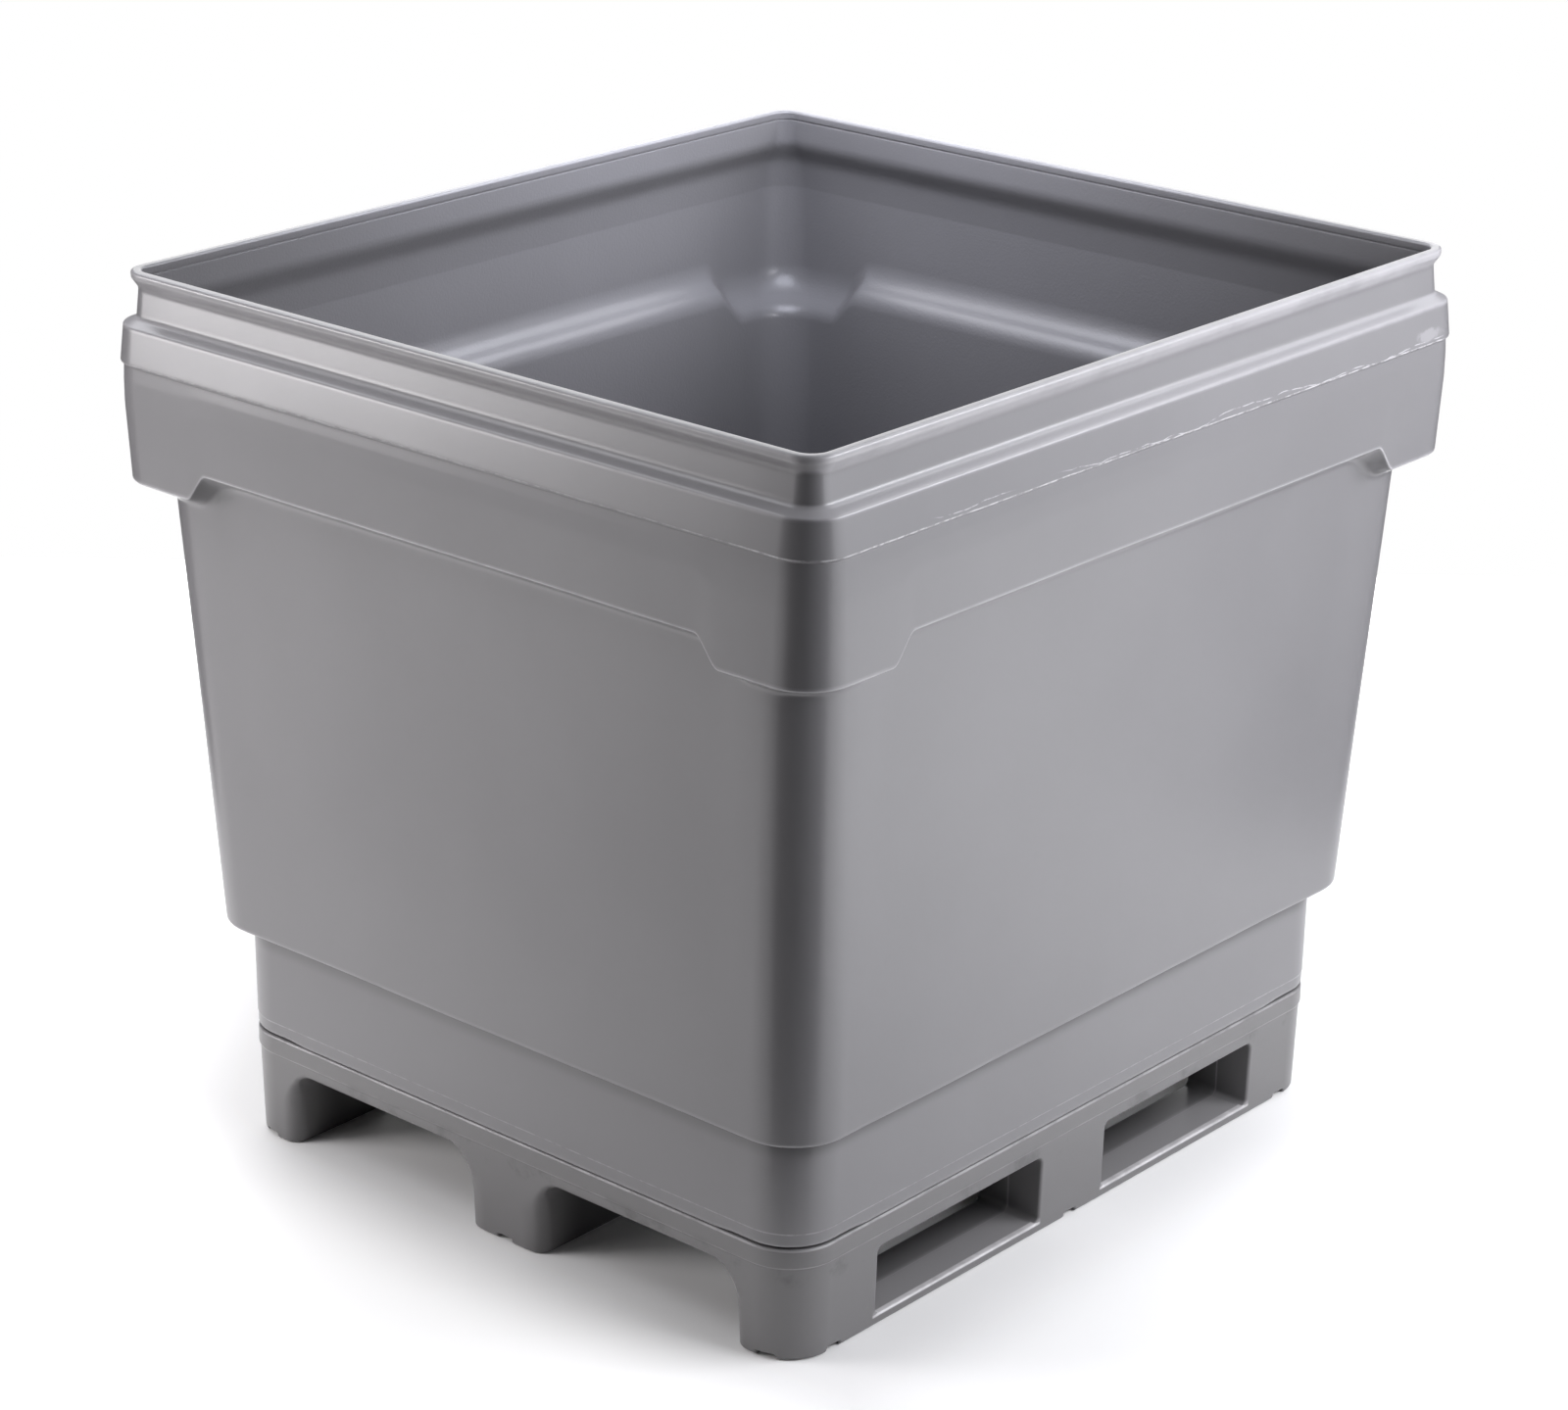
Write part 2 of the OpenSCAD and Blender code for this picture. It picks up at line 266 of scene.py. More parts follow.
def make_tub():
    rings = [ring(*q) for q in ROWS]
    n, m = len(rings[0]), len(rings)
    verts = list(np.concatenate(rings))
    faces, inner, flat = [], [], []
    for i in range(m - 1):
        ins = ROWS[i][4] > 0.5
        for k in range(n):
            k2 = (k + 1) % n
            faces.append((i * n + k, i * n + k2, (i + 1) * n + k2, (i + 1) * n + k))
            inner.append(ins)
    # Floor inside, with a low round boss over each bolt
    circle = [(math.cos(2 * math.pi * k / 28), math.sin(2 * math.pi * k / 28)) for k in range(28)]
    boss = [(26.0, 0.0), (24.9, 0.5), (24.2, 1.7), (23.4, 21.0), (22.4, 23.8), (20.2, 25.4), (17.5, 26.0), (8.0, 26.0)]
    holes = [[(x + boss[0][0] * c, y + boss[0][0] * s) for c, s in circle] for x, y in BOLTS]
    zf = rings[0][0][2]
    pts, origin, tris = triangulate([tuple(p[:2]) for p in rings[0]], holes)
    index = []
    for p, o in zip(pts, origin):
        first = min(o) if len(o) else None
        if first is not None and first < n:
            index.append(first)
        else:
            index.append(len(verts))
            verts.append((p[0], p[1], zf))
    for t in tris:
        q = [index[i] for i in t]
        a, b, c = (np.array(verts[i])[:2] for i in q)
        up = (b[0] - a[0]) * (c[1] - a[1]) - (b[1] - a[1]) * (c[0] - a[0]) > 0
        flat.append(len(faces))
        faces.append(tuple(q) if up else tuple(q[::-1]))
        inner.append(True)
    start = {}
    for i, o in enumerate(origin):
        for s in o:
            start[s] = index[i]
    for h, (x, y) in enumerate(BOLTS):
        below = [start[n + h * 28 + k] for k in range(28)]
        for r, z in boss[1:]:
            row = []
            for c, s in circle:
                row.append(len(verts))
                verts.append((x + r * c, y + r * s, zf + z))
            for k in range(28):
                k2 = (k + 1) % 28
                faces.append((below[k], below[k2], row[k2], row[k]))
                inner.append(True)
            below = row
        faces.append(tuple(below))
        inner.append(True)
    # Underside
    zb = rings[-1][0][2]
    pts, origin, tris = triangulate([tuple(p[:2]) for p in rings[-1]], [])
    index = []
    for p, o in zip(pts, origin):
        if len(o):
            index.append((m - 1) * n + min(o))
        else:
            index.append(len(verts))
            verts.append((p[0], p[1], zb))
    for t in tris:
        q = [index[i] for i in t]
        a, b, c = (np.array(verts[i])[:2] for i in q)
        up = (b[0] - a[0]) * (c[1] - a[1]) - (b[1] - a[1]) * (c[0] - a[0]) > 0
        flat.append(len(faces))
        faces.append(tuple(q[::-1]) if up else tuple(q))
        inner.append(False)
    # The rows run up the inside and down the outside, so the quads face into the wall: turn them
    quads = (m - 1) * n
    faces = [tuple(f[::-1]) if i < quads else f for i, f in enumerate(faces)]
    ob = new_mesh("tub_skin", np.array(verts) * MM, faces)
    ob.data.polygons.foreach_set("material_index", np.array(inner, dtype=np.int32))
    # The floor and the underside are flat up to their edges
    smooth = np.ones(len(ob.data.polygons), bool)
    smooth[flat] = False
    ob.data.polygons.foreach_set("use_smooth", smooth)
    wear_and_highlight = np.zeros(len(ob.data.vertices), np.float32)
    wear_and_highlight[:m * n] = np.repeat(ROWS[:, 5], n)
    ob.data.attributes.new("edge_wear_and_highlight", "FLOAT", "POINT").data.foreach_set("value", wear_and_highlight)
    return ob


# ---------------------------------------------------------------- pallet base, from its distance field
def rect2(u, v, hu, hv, rad):
    """Distance to a rectangle with round corners, negative inside."""
    qu, qv = np.abs(u) - hu + rad, np.abs(v) - hv + rad
    return np.hypot(np.maximum(qu, 0), np.maximum(qv, 0)) + np.minimum(np.maximum(qu, qv), 0) - rad


def both(a, b, r):
    """Where both are solid, with edges rounded to r."""
    return np.minimum(-r, np.maximum(a, b)) + np.hypot(np.maximum(a + r, 0), np.maximum(b + r, 0))


def base_field(x, y, z):
    # Outside, with draft below the parting line and a small step at it
    lip = 1.0 / (1.0 + np.exp(-(z - 120.5) / 0.5))
    ha = 513.6 + 3.4 * np.clip(z, 0, 120.5) / 120.5 + 1.5 * lip
    hb = ha - 52.5
    rad = 60.0 + 5.0 * np.clip(z, 0, 145) / 145
    d = rect2(x, y, ha, hb, rad)
    # Fork channels along X, a little wider at the floor
    wide = 151.0 + 2.5 * (1 - np.clip(z, 0, 103) / 103)
    ch = rect2(np.abs(y) - 215.0, z + 97.0, wide, 200.0, 30.0)
    d = both(d, -ch, 7.0 + 14.0 * np.clip((90.0 - z) / 28.0, 0, 1))
    # Fork windows along Y
    win = rect2(np.abs(x) - 216.0, z - 58.5, 153.0, 44.5, 9.0)
    d = both(d, -win, 3.2)
    d = both(d, z - SEAM, 3.2)
    d = both(d, -z, 5.0)
    # Grooves in the soles, from the middle of each outer foot to the outside
    gx = np.maximum(rect2(np.minimum(np.abs(y), np.abs(np.abs(y) - POSTY)), z, 11.5, 7.0, 2.0), POSTX - np.abs(x))
    d = both(d, -gx, 1.6)
    gy = np.maximum(rect2(np.minimum(np.abs(x), np.abs(np.abs(x) - POSTX)), z, 11.5, 7.0, 2.0), POSTY - np.abs(y))
    d = both(d, -gy, 1.6)
    # Bolt wells and the holes for the sleeves above them
    px, py = np.abs(x), np.abs(y)
    for cx, cy in ((POSTX, POSTY), (0.0, POSTY), (POSTX, 0.0)):
        rr = np.hypot(px - cx, py - cy)
        d = both(d, -np.maximum(rr - 22.0, z - 113.0), 2.0)
        d = np.maximum(d, -(rr - 10.0))
    # Recess and hole for the vent plug, in the deck
    rr = np.hypot(x - 215.0, y)
    d = np.maximum(d, -np.maximum(rr - 15.0, 141.0 - z))
    d = np.maximum(d, -np.maximum(rr - 8.0, 130.0 - z))
    return d


def lines(limit, fine):
    """Grid lines from -limit to limit: close together inside the fine spans, wide apart elsewhere."""
    spans = sorted(fine)
    out = []
    x = -limit
    while x < limit:
        out.append(x)
        step = 44.0
        for lo, hi, s in spans:
            if lo - 1e-9 <= x < hi - 1e-9:
                step = min(step, s)
            elif x < lo < x + step:
                step = min(step, max(lo - x, 1e-6))
        x += step
    out.append(limit)
    return np.array(out)


def mirrored(spans):
    return [s for lo, hi, t in spans for s in ((lo, hi, t), (-hi, -lo, t))]


def surface_net(field, gx, gy, gz):
    X, Y, Z = np.meshgrid(gx, gy, gz, indexing="ij")
    D = field(X, Y, Z)
    ins = D < 0
    nx, ny, nz = D.shape
    corner_ids = [(i, j, k) for i in (0, 1) for j in (0, 1) for k in (0, 1)]
    count = sum(ins[i:nx - 1 + i, j:ny - 1 + j, k:nz - 1 + k].astype(np.int8) for i, j, k in corner_ids)
    mixed = (count > 0) & (count < 8)
    cell = -np.ones(mixed.shape, np.int64)
    ci, cj, ck = np.nonzero(mixed)
    cell[ci, cj, ck] = np.arange(len(ci))
    total = np.zeros((len(ci), 3))
    hits = np.zeros(len(ci))
    g = (gx, gy, gz)
    for axis in range(3):
        for o1 in (0, 1):
            for o2 in (0, 1):
                p0 = [ci, cj, ck]
                others = [q for q in range(3) if q != axis]
                p0[others[0]] = p0[others[0]] + o1
                p0[others[1]] = p0[others[1]] + o2
                p1 = list(p0)
                p1[axis] = p1[axis] + 1
                d0, d1 = D[tuple(p0)], D[tuple(p1)]
                cross = (d0 < 0) != (d1 < 0)
                t = np.where(cross, d0 / np.where(cross, d0 - d1, 1), 0)
                pos = [g[q][p0[q]] for q in range(3)]
                pos[axis] = pos[axis] + t * (g[axis][p1[axis]] - g[axis][p0[axis]])
                total += np.where(cross[:, None], np.stack(pos, 1), 0)
                hits += cross
    V = total / hits[:, None]
    # Onto the surface, without leaving the cell by much
    def grad(P):
        e = 0.15
        return np.stack([(field(P[:, 0] + (q == 0) * e, P[:, 1] + (q == 1) * e, P[:, 2] + (q == 2) * e)
                          - field(P[:, 0] - (q == 0) * e, P[:, 1] - (q == 1) * e, P[:, 2] - (q == 2) * e)) / (2 * e) for q in range(3)], 1)
    lo = np.stack([gx[ci], gy[cj], gz[ck]], 1)
    hi = np.stack([gx[ci + 1], gy[cj + 1], gz[ck + 1]], 1)
    pad = 0.02 * (hi - lo)
    for _ in range(6):
        G = grad(V)
        g2 = np.maximum((G * G).sum(1), 0.05)
        V = V - G * (field(V[:, 0], V[:, 1], V[:, 2]) / g2)[:, None]
        V = np.clip(V, lo - pad, hi + pad)
    G = grad(V)
    N = G / np.maximum(np.linalg.norm(G, axis=1), 1e-9)[:, None]
    quads = []
    for axis in range(3):
        o1, o2 = [(1, 2), (2, 0), (0, 1)][axis]
        sl0 = [slice(None)] * 3
        sl1 = [slice(None)] * 3
        sl0[axis], sl1[axis] = slice(0, -1), slice(1, None)
        a, b = ins[tuple(sl0)], ins[tuple(sl1)]
        idx = np.nonzero(a != b)
        idx = np.array(idx)
        ok = (idx[o1] > 0) & (idx[o2] > 0) & (idx[o1] < D.shape[o1] - 1) & (idx[o2] < D.shape[o2] - 1)
        idx = idx[:, ok]
        first = a[tuple(idx)]
        def at(s1, s2):
            q = idx.copy()
            q[o1] -= s1
            q[o2] -= s2
            return cell[tuple(q)]
        f = np.stack([at(1, 1), at(0, 1), at(0, 0), at(1, 0)], 1)
        f[~first] = f[~first][:, ::-1]
        quads.append(f)
    F = np.concatenate(quads)
    return V, N, F


def make_base():
    xs = mirrored([(53, 58, 2.5), (58, 70, 2.0), (70, 78, 3.0), (358, 378, 2.0), (378, 386, 3.0), (440, 521, 4.5), (500, 521, 3.0), (0, 15.5, 3.1), (424, 461, 3.5)]) + [(196, 234, 3.2)]
    ys = mirrored([(48, 100, 3.6), (330, 392, 3.6), (395, 470, 4.2), (448, 458, 3.0), (458, 470, 2.0), (0, 15.5, 3.1), (386, 444, 3.5)])
    zs = [(-6, 11.5, 2.2), (11.5, 19.5, 2.0), (19.5, 30, 3.0), (66, 95, 3.6), (95, 108, 2.0), (108, 117.5, 3.2), (117.5, 123.5, 1.5), (128, 149, 2.2)]
    gx, gy = lines(521.0, xs), lines(470.0, ys)
    gz = lines(150.0, zs)
    gz = gz[gz >= -6.0]
    gz = np.concatenate([[-6.0], gz]) if gz[0] > -6.0 else gz
    V, N, F = surface_net(base_field, gx, gy, gz)
    ob = new_mesh("pallet_base_skin", V * MM, [tuple(map(int, f)) for f in F])
    if len(ob.data.vertices) == len(N):
        ob.data.normals_split_custom_set_from_vertices([tuple(n) for n in N])
    return ob


tub = make_tub()
base = make_base()
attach(tub, "root")
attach(base, "root")
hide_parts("tub")
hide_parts("pallet_base")


# ---------------------------------------------------------------- materials
class Graph:
    """Short-hand for building one material's nodes."""

    def __init__(self, name):
        self.mat = bpy.data.materials.new(name)
        self.mat.use_nodes = True
        self.t = self.mat.node_tree
        self.t.nodes.clear()
        self.out = self.add("ShaderNodeOutputMaterial")
        self.bsdf = self.add("ShaderNodeBsdfPrincipled")
        self.link(self.bsdf.outputs[0], self.out.inputs[0])
        self.place = self.add("ShaderNodeTexCoord").outputs["Object"]

    def add(self, kind, **props):
        n = self.t.nodes.new(kind)
        for k, v in props.items():
            setattr(n, k, v)
        return n

    def link(self, a, b):
        self.t.links.new(a, b)

    def put(self, socket, value):
        if hasattr(value, "is_output"):
            self.link(value, socket)
        else:
            socket.default_value = value

    def math(self, op, a, b=0.0, c=None, clamp=False):
        n = self.add("ShaderNodeMath", operation=op, use_clamp=clamp)
        self.put(n.inputs[0], a)
        self.put(n.inputs[1], b)
        if c is not None:
            self.put(n.inputs[2], c)
        return n.outputs[0]

    def scaled(self, scale):
        n = self.add("ShaderNodeMapping")
        self.link(self.place, n.inputs["Vector"])
        n.inputs["Scale"].default_value = scale
        return n.outputs[0]

    def noise(self, scale, detail=3.0, rough=0.5, vector=None, distort=0.0):
        n = self.add("ShaderNodeTexNoise")
        self.link(vector or self.place, n.inputs["Vector"])
        n.inputs["Scale"].default_value = scale
        n.inputs["Detail"].default_value = detail
        n.inputs["Roughness"].default_value = rough
        n.inputs["Distortion"].default_value = distort
        return n.outputs["Fac"]

    def ramp(self, value, lo, hi, to=(0.0, 1.0), smooth=True):
        n = self.add("ShaderNodeMapRange", interpolation_type="SMOOTHSTEP" if smooth else "LINEAR")
        self.put(n.inputs["Value"], value)
        n.inputs["From Min"].default_value = lo
        n.inputs["From Max"].default_value = hi
        n.inputs["To Min"].default_value = to[0]
        n.inputs["To Max"].default_value = to[1]
        return n.outputs["Result"]

    def mix(self, fac, a, b):
        n = self.add("ShaderNodeMix", data_type="RGBA")
        self.put(n.inputs["Factor"], fac)
        ia = [s for s in n.inputs if s.type == "RGBA"]
        for s, v in zip(ia, (a, b)):
            self.put(s, v if hasattr(v, "is_output") else (*v, 1.0))
        return [s for s in n.outputs if s.type == "RGBA"][0]

    def xyz(self):
        n = self.add("ShaderNodeSeparateXYZ")
        self.link(self.place, n.inputs[0])
        return n.outputs

    def bump(self, height, strength, distance, normal=None):
        n = self.add("ShaderNodeBump")
        n.inputs["Strength"].default_value = strength
        n.inputs["Distance"].default_value = distance
        self.link(height, n.inputs["Height"])
        if normal is not None:
            self.link(normal, n.inputs["Normal"])
        return n.outputs[0]


def plastic(name, dark, light, inside=False, base_part=False):
    g = Graph(name)
    x, y, z = g.xyz()
    def times(*v):
        out = v[0]
        for q in v[1:]:
            out = g.math("MULTIPLY", out, q)
        return out
    def off(value, middle):
        return g.math("ABSOLUTE", g.math("SUBTRACT", value, middle))
    # Slow mottling of the pigment and small clouds in it
    slow = g.noise(2.6, 3.0, 0.55, g.scaled((1.0, 1.0, 0.6)))
    cloud = g.noise(9.0, 2.0, 0.5)
    colour = g.mix(g.ramp(g.math("ADD", times(slow, 0.75), times(cloud, 0.25)), 0.25, 0.75), dark, light)
    # Specks in the pigment
    fine = g.noise(900.0, 2.0, 0.5)
    colour = g.mix(g.ramp(fine, 0.62, 0.78, (0.0, 0.05)), colour, tuple(min(1.0, c * 1.35) for c in light))
    # Scuffs: fine crossing scratches that break up in patches
    scratch_a = g.noise(60.0, 4.0, 0.7, g.scaled((1.0, 1.0, 9.0)), 0.4)
    scratch_b = g.noise(70.0, 4.0, 0.7, g.scaled((2.0, 2.0, 14.0)), 0.8)
    patch = g.ramp(g.noise(7.0, 3.0, 0.6), 0.46, 0.62)
    scuff = times(g.ramp(g.math("MAXIMUM", scratch_a, scratch_b), 0.66, 0.80), patch, 0.55)
    pale = tuple(min(1.0, c * 2.6) for c in light)
    if inside:
        where = times(scuff, 0.04)
        colour = g.mix(where, colour, pale)
    elif base_part:
        # Rubbed low down and along the lip, with a fine pale parting line, and grime where forks rub
        low = g.ramp(z, 0.10, 0.0, (0.12, 0.5))
        where = times(scuff, g.math("ADD", low, g.ramp(off(z, 0.1205), 0.0008, 0.004, (0.45, 0.0))))
        colour = g.mix(times(where, 0.7), colour, pale)
        lip = times(g.ramp(off(z, 0.1208), 0.0004, 0.0016, (0.42, 0.0)), g.ramp(g.noise(34.0, 3.0, 0.6), 0.3, 0.6, (0.35, 1.0)))
        colour = g.mix(lip, colour, pale)
        # Painted shade: the inside of the base, away from its outer faces, is painted darker
        painted_channel_shade = times(g.ramp(g.math("ABSOLUTE", x), 0.506, 0.44), g.ramp(g.math("ABSOLUTE", y), 0.440, 0.36, (0.0, 0.75)))
        colour = g.mix(painted_channel_shade, colour, tuple(c * 0.2 for c in dark))
        # Parting line inside the fork windows, painted light on the front of their sills and a painted highlight along
        # the sills' outer edge
        ax, ay = g.math("ABSOLUTE", x), g.math("ABSOLUTE", y)
        window = times(g.ramp(ax, 0.058, 0.062), g.ramp(ax, 0.376, 0.372), g.ramp(z, 0.0105, 0.0125))
        seam = times(g.ramp(off(ay, 0.4135), 0.0005, 0.0018, (0.45, 0.0)), window)
        # Painted light: the front of each sill is painted paler
        painted_sill_light = times(g.ramp(z, 0.022, 0.016), g.ramp(ay, 0.405, 0.418, (0.0, 0.42)), window)
        colour = g.mix(g.math("MAXIMUM", seam, painted_sill_light), colour, pale)
        # Painted highlight along the outer edge of each sill
        painted_sill_highlight = times(g.ramp(z, 0.0150, 0.0145), g.ramp(ay, 0.4525, 0.4545), window, g.ramp(g.noise(30.0, 3.0, 0.6), 0.3, 0.6, (0.5, 0.9)))
        colour = g.mix(painted_sill_highlight, colour, tuple(min(1.0, c * 4.0) for c in light))
        # Painted highlight: a pale line along the top edge of the base, under the seam
        painted_top_edge_highlight = times(g.ramp(off(z, 0.1432), 0.0006, 0.0020, (0.55, 0.0)), g.ramp(g.noise(26.0, 3.0, 0.6), 0.35, 0.6, (0.25, 1.0)))
        colour = g.mix(painted_top_edge_highlight, colour, pale)
        grime = times(g.ramp(g.noise(22.0, 4.0, 0.65), 0.5, 0.68), g.ramp(off(z, 0.110), 0.004, 0.020, (0.5, 0.0)))
        colour = g.mix(grime, colour, tuple(c * 0.45 for c in dark))
    else:
        # Moulding flash along the parting line: a fine ragged line, livelier on the front
        front = g.ramp(y, -0.42, -0.50, (0.45, 1.0))
        wander = times(g.math("SUBTRACT", g.noise(26.0, 3.0, 0.6), 0.5), 0.0022)
        ragged = g.ramp(g.noise(75.0, 4.0, 0.65), 0.36, 0.60, (0.10, 1.0))
        line = times(g.ramp(off(g.math("SUBTRACT", z, wander), 1.0124), 0.0004, 0.0015, (1.0, 0.0)), ragged, front)
        stray = times(g.math("SUBTRACT", g.noise(7.5, 3.0, 0.55), 0.5), 0.030)
        second = times(g.ramp(off(g.math("SUBTRACT", z, stray), 1.0175), 0.0002, 0.0009, (0.8, 0.0)),
                       g.ramp(g.noise(4.2, 2.0, 0.5), 0.46, 0.56), g.ramp(g.noise(52.0, 3.0, 0.6), 0.40, 0.58), g.ramp(y, -0.47, -0.52))
        # A patch near one end of the front band where the flash was scraped off
        spot = g.math("SQRT", g.math("ADD", g.math("POWER", g.math("DIVIDE", g.math("SUBTRACT", x, SCRAPE[0]), 0.030), 2.0),
                                     g.math("POWER", g.math("DIVIDE", g.math("SUBTRACT", z, SCRAPE[1]), 0.0095), 2.0)))
        spot = g.math("ADD", spot, times(g.math("SUBTRACT", g.noise(55.0, 4.0, 0.7), 0.5), 1.5))
        scraped = times(g.ramp(spot, 1.05, 0.6, (0.0, 0.26)), g.ramp(y, -0.50, -0.53))
        flash = g.math("MAXIMUM", g.math("MAXIMUM", line, second), scraped)
        colour = g.mix(times(flash, 0.75), colour, tuple(min(1.0, c * 3.2) for c in light))
        # Painted light: the top of the rim is painted paler, most of all on the front
        painted_rim_light = times(g.ramp(z, 1.0965, 1.1045), g.ramp(y, -0.48, -0.52, (0.28, 0.62)), g.ramp(g.noise(16.0, 3.0, 0.6), 0.25, 0.65, (0.6, 1.0)))
        colour = g.mix(painted_rim_light, colour, tuple(min(1.0, c * 2.3) for c in light))
        # Painted light: the ledge at the foot of the neck is painted paler
        painted_ledge_light = times(g.ramp(z, 1.0545, 1.0572), g.ramp(z, 1.0672, 1.0635, (0.0, 0.72)))
        colour = g.mix(painted_ledge_light, colour, tuple(min(1.0, c * 2.1) for c in light))
        # Edges painted pale, as edge wear and as a painted highlight
        edge_wear_and_highlight = g.add("ShaderNodeAttribute", attribute_name="edge_wear_and_highlight").outputs["Fac"]
        worn_and_highlit = times(edge_wear_and_highlight, g.ramp(g.noise(18.0, 4.0, 0.65), 0.30, 0.62, (0.55, 0.9)))
        colour = g.mix(worn_and_highlit, colour, tuple(min(1.0, c * 2.3) for c in light))
        # Second parting line, low on the skirt
        low_line = times(g.ramp(off(z, 0.1646), 0.0004, 0.0016, (0.30, 0.0)), ragged)
        colour = g.mix(low_line, colour, pale)
        # Painted shade in the corner under the body
        painted_overhang_shade = times(g.ramp(z, 0.256, 0.277, (0.0, 0.42)), g.ramp(z, 0.2895, 0.2865))
        colour = g.mix(painted_overhang_shade, colour, tuple(c * 0.25 for c in dark))
        skirt = g.ramp(z, 0.26, 0.16, (0.0, 0.22))
        band = times(g.ramp(off(z, 1.016), 0.008, 0.030, (0.35, 0.0)), front)
        where = times(scuff, g.math("ADD", g.math("ADD", skirt, band), 0.015))
        colour = g.mix(times(where, 0.7), colour, pale)
    g.link(colour, g.bsdf.inputs["Base Color"])
    rough = g.ramp(g.math("ADD", times(g.noise(14.0, 2.0, 0.5), 0.6), times(cloud, 0.4)), 0.25, 0.75, ROUGH_IN if inside else ROUGH_OUT)
    rough = g.math("ADD", rough, times(where, 0.22), clamp=True)
    g.link(rough, g.bsdf.inputs["Roughness"])
    # Orange peel of the mould, with a pebble inside, and the slow waves of a thick wall
    peel = g.noise(420.0, 2.0, 0.5)
    n1 = g.bump(peel, 0.03 if not inside else 0.10, 0.0006)
    pebble = g.noise(170.0 if not inside else 300.0, 2.0, 0.5)
    n2 = g.bump(pebble, 0.025 if not inside else 0.24, 0.0012, n1)
    n3 = g.bump(g.noise(6.0, 1.0, 0.5), 0.05, 0.004, n2)
    g.link(n3, g.bsdf.inputs["Normal"])
    g.bsdf.inputs["IOR"].default_value = 1.5
    g.bsdf.inputs["Specular IOR Level"].default_value = 0.5
    return g.mat


def metal(name, colour, other, rough, turn_scale):
    g = Graph(name)
    grain = g.noise(300.0, 3.0, 0.6, g.scaled((1.0, 1.0, turn_scale)))
    blot = g.noise(60.0, 3.0, 0.6)
    g.link(g.mix(g.ramp(g.math("ADD", g.math("MULTIPLY", grain, 0.5), g.math("MULTIPLY", blot, 0.5)), 0.35, 0.65), colour, other), g.bsdf.inputs["Base Color"])
    g.bsdf.inputs["Metallic"].default_value = 1.0
    g.link(g.ramp(blot, 0.3, 0.7, (rough - 0.07, rough + 0.08)), g.bsdf.inputs["Roughness"])
    g.link(g.bump(grain, 0.15, 0.0004), g.bsdf.inputs["Normal"])
    return g.mat


SCRAPE = (0.529, 1.0249)
ROUGH_OUT, ROUGH_IN = (0.277, 0.297), (0.28, 0.31)
GREY_DARK, GREY_LIGHT = (0.177, 0.173, 0.179), (0.189, 0.185, 0.192)
tub.data.materials.append(plastic("tub_outside", GREY_DARK, GREY_LIGHT))
tub.data.materials.append(plastic("tub_inside", GREY_DARK, GREY_LIGHT, inside=True))
# The base's plastic carries wear, and also painted shade and painted highlights
base.data.materials.append(plastic("base_plastic_worn_and_painted_light", (0.148, 0.144, 0.146), (0.161, 0.157, 0.159), base_part=True))


def dress(node, mat):
    ob = nodes[node]
    ob.data.materials.clear()
    ob.data.materials.append(mat)


steel = metal("stainless", (0.56, 0.57, 0.58), (0.66, 0.67, 0.68), 0.36, 6.0)
dress("hex_bolts", steel)
dress("flat_washers", metal("washer_steel_worn", (0.58, 0.59, 0.60), (0.68, 0.69, 0.70), 0.37, 1.0))
dress("lock_washers", metal("spring_steel_worn", (0.40, 0.41, 0.42), (0.52, 0.53, 0.54), 0.38, 1.0))
dress("compression_sleeves", metal("sleeve_steel_worn", (0.52, 0.53, 0.55), (0.62, 0.63, 0.65), 0.36, 8.0))
dress("threaded_inserts", metal("insert_brass_worn", (0.62, 0.46, 0.22), (0.72, 0.56, 0.30), 0.36, 10.0))
plug = Graph("plug_black")
plug.link(plug.mix(plug.ramp(plug.noise(90.0, 3.0, 0.6), 0.35, 0.65), (0.018, 0.018, 0.019), (0.035, 0.035, 0.037)), plug.bsdf.inputs["Base Color"])
plug.link(plug.ramp(plug.noise(40.0, 3.0, 0.6), 0.3, 0.7, (0.45, 0.6)), plug.bsdf.inputs["Roughness"])
dress("vent_plug", plug.mat)


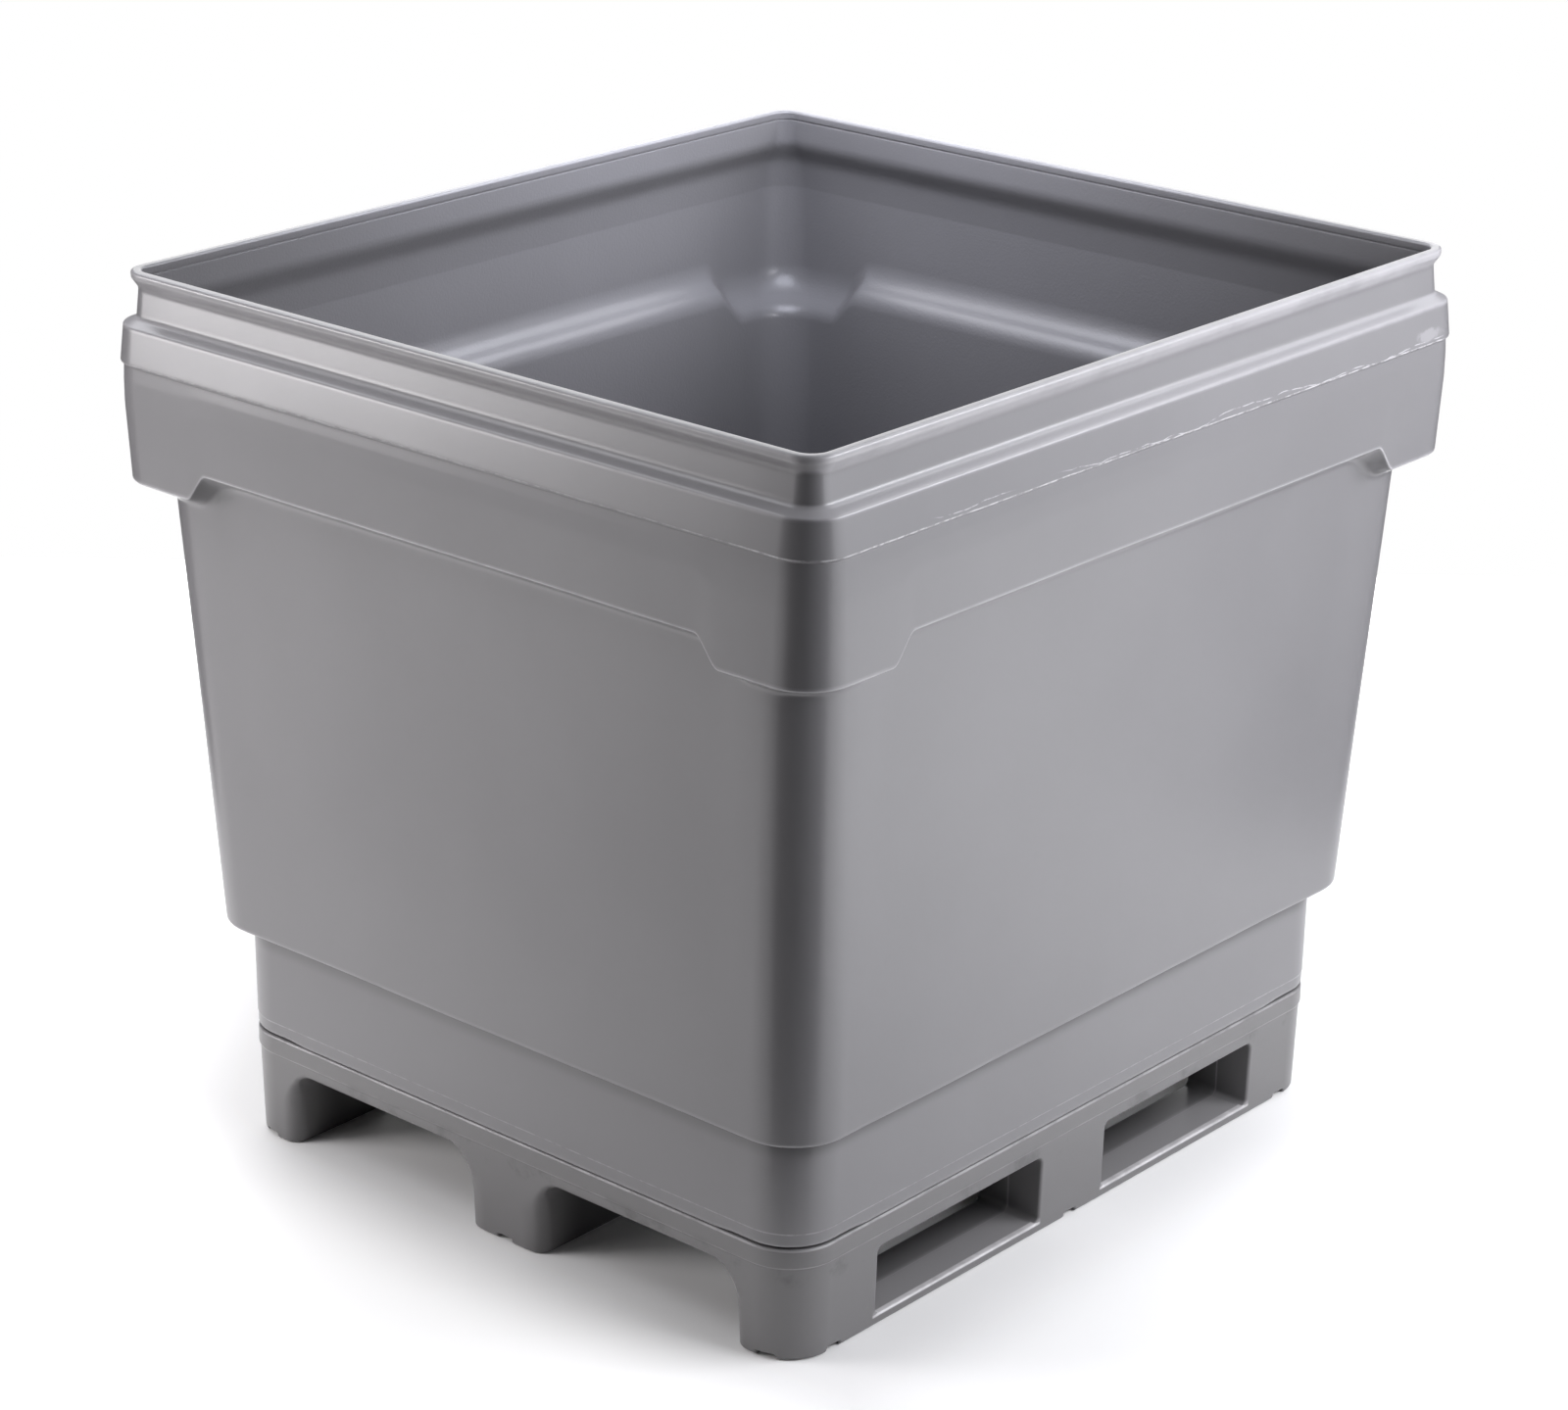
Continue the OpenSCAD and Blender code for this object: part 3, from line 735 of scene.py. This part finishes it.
# ---------------------------------------------------------------- floor, light and camera
def floor():
    # A pale sheet that ends a little in front of the part, reaches out at both sides and glows white towards its far
    # edge; it also glows beside the part, which lifts the shadow there
    f, l = Vector((0.755, 0.656, 0.0)), Vector((0.656, -0.755, 0.0))
    outline = [(-4.2, -4.2), (-0.3, -1.0), (0.3, -1.0), (4.2, -4.2), (4.2, 0.7), (1.42, 0.05), (1.42, 2.1), (-1.5, 2.1), (-1.5, 0.35), (-4.2, 0.35)]
    ob = new_mesh("studio_floor", [l * u + f * v for u, v in outline], [tuple(range(len(outline)))], smooth=False)
    g = Graph("studio_white")
    x, y, z = g.xyz()
    g.link(g.mix(g.ramp(g.noise(0.7, 2.0, 0.5), 0.3, 0.7), (0.935, 0.928, 0.915), (0.955, 0.948, 0.935)), g.bsdf.inputs["Base Color"])
    depth = g.math("ADD", g.math("MULTIPLY", x, 0.755), g.math("MULTIPLY", y, 0.656))
    g.bsdf.inputs["Emission Color"].default_value = (1.0, 1.0, 1.0, 1.0)
    across = g.math("SUBTRACT", g.math("MULTIPLY", x, 0.656), g.math("MULTIPLY", y, 0.755))
    left = g.math("ADD", g.ramp(x, -0.47, -0.70, (0.0, 0.38)), g.ramp(across, -0.66, -0.82, (0.0, 0.22)))
    left = g.math("MULTIPLY", left, g.ramp(x, -0.98, -1.30, (1.0, 0.35)))
    sides = g.math("MAXIMUM", left, g.ramp(y, -0.50, -0.64, (0.0, 0.12)))
    sides = g.math("MAXIMUM", sides, g.ramp(y, -0.80, -1.75, (0.0, 0.75)))
    out = g.math("SQRT", g.math("ADD", g.math("MULTIPLY", x, x), g.math("MULTIPLY", y, y)))
    sides = g.math("MAXIMUM", sides, g.ramp(out, 2.4, 3.2, (0.0, 0.60)))
    g.link(g.math("MAXIMUM", g.ramp(depth, 0.75, 1.75), sides), g.bsdf.inputs["Emission Strength"])
    g.bsdf.inputs["Roughness"].default_value = 0.9
    g.bsdf.inputs["Specular IOR Level"].default_value = 0.1
    ob.data.materials.append(g.mat)
    return ob


floor()


def area(name, at, aim, size, power, colour=(1, 1, 1), size_y=None):
    d = bpy.data.lights.new(name, "AREA")
    d.energy = power
    d.color = colour
    d.size = size
    if size_y:
        d.shape = "RECTANGLE"
        d.size_y = size_y
    o = bpy.data.objects.new(name, d)
    o.location = at
    o.rotation_euler = (Vector(aim) - Vector(at)).to_track_quat("-Z", "Y").to_euler()
    o.visible_camera = False
    bpy.context.scene.collection.objects.link(o)
    return o


def lamp(name, turn, lift, away, size, power, colour, size_y=None):
    """A soft box aimed at the middle of the part: turn about Z from the -Y side, lift above the level."""
    t, e = math.radians(turn), math.radians(lift)
    aim = Vector((0.0, 0.0, 0.55))
    at = aim + away * Vector((math.sin(t) * math.cos(e), -math.cos(t) * math.cos(e), math.sin(e)))
    return area(name, at, aim, size, power, colour, size_y)


WARM, COOL, SKY = (1.0, 0.978, 0.995), (0.945, 0.955, 1.0), (0.945, 0.955, 1.0)
lamp("left_low", -131, -1, 3.0, 2.0, 2.6, WARM, 0.9)
lamp("left_mid", -131, 10, 3.0, 1.0, 31.0, WARM, 0.8)
lamp("left_box", -120, 14, 3.2, 1.6, 13.5, WARM)
lamp("right_low", 49, -1, 3.0, 2.0, 1.5, COOL, 0.9)
lamp("right_tall", 44, 19, 3.0, 1.0, 12.0, COOL, 1.7)
lamp("right_front", 16, 14, 3.2, 2.4, 45.0, COOL, 2.0)
area("right_near", (0.5, -1.7, 1.5), (0.2, -0.5, 0.85), 1.6, 24.0, COOL, 0.5)
lamp("back_high", -179, 48, 3.6, 1.7, 37.6, SKY)
lamp("left_high", -130, 48, 3.6, 1.7, 27.5, SKY)
lamp("front_high", -49, 48, 3.6, 1.7, 1.9, SKY)
lamp("right_high", 41, 48, 3.6, 1.7, 11.5, SKY)
lamp("far_high", 81, 48, 3.6, 1.7, 34.6, SKY)
lamp("shoulder_left", 153, 46, 3.6, 1.7, 14.0, SKY)
lamp("backdrop", 131, 22, 3.8, 3.4, 48.0, (1.0, 1.0, 1.0), 2.0)
area("inside_low", (0.22, 0.19, 1.62), (0.6, 0.55, 1.0), 0.7, 6.0, (0.85, 0.88, 1.0))
area("inside_back", (0.36, 0.28, 1.50), (0.42, 0.56, 1.05), 0.5, 2.4, (0.85, 0.88, 1.0))

world = bpy.data.worlds.new("studio")
bpy.context.scene.world = world
world.use_nodes = True
wt = world.node_tree
wt.nodes.clear()
wo = wt.nodes.new("ShaderNodeOutputWorld")
seen = wt.nodes.new("ShaderNodeBackground")
lit = wt.nodes.new("ShaderNodeBackground")
pick = wt.nodes.new("ShaderNodeMixShader")
path = wt.nodes.new("ShaderNodeLightPath")
seen.inputs["Color"].default_value = (1, 1, 1, 1)
seen.inputs["Strength"].default_value = 1.0
lit.inputs["Color"].default_value = (0.95, 0.97, 1.0, 1)
lit.inputs["Strength"].default_value = 0.0
wt.links.new(path.outputs["Is Camera Ray"], pick.inputs[0])
wt.links.new(lit.outputs[0], pick.inputs[1])
wt.links.new(seen.outputs[0], pick.inputs[2])
wt.links.new(pick.outputs[0], wo.inputs[0])

scene = bpy.context.scene
scene.view_settings.view_transform = "Standard"
scene.view_settings.look = "None"

az, el, roll = math.radians(-49.013), math.radians(20.988), math.radians(0.731)
back = Vector((math.sin(az) * math.cos(el), -math.cos(az) * math.cos(el), math.sin(el)))
right = (-back).cross(Vector((0, 0, 1))).normalized()
up = right.cross(-back)
r2 = right * math.cos(roll) + up * math.sin(roll)
u2 = -right * math.sin(roll) + up * math.cos(roll)
cam = bpy.data.cameras.new("photo_camera")
cam.sensor_fit = "HORIZONTAL"
cam.sensor_width = 36.0
cam.lens = 4245.1 * 36.0 / 1600.0
cam.clip_end = 200.0
co = bpy.data.objects.new("photo_camera", cam)
m = Matrix((r2, u2, back)).transposed().to_4x4()
m.translation = Vector((-3.6511, -3.1607, 2.3995))
co.matrix_world = m
scene.collection.objects.link(co)
scene.camera = co
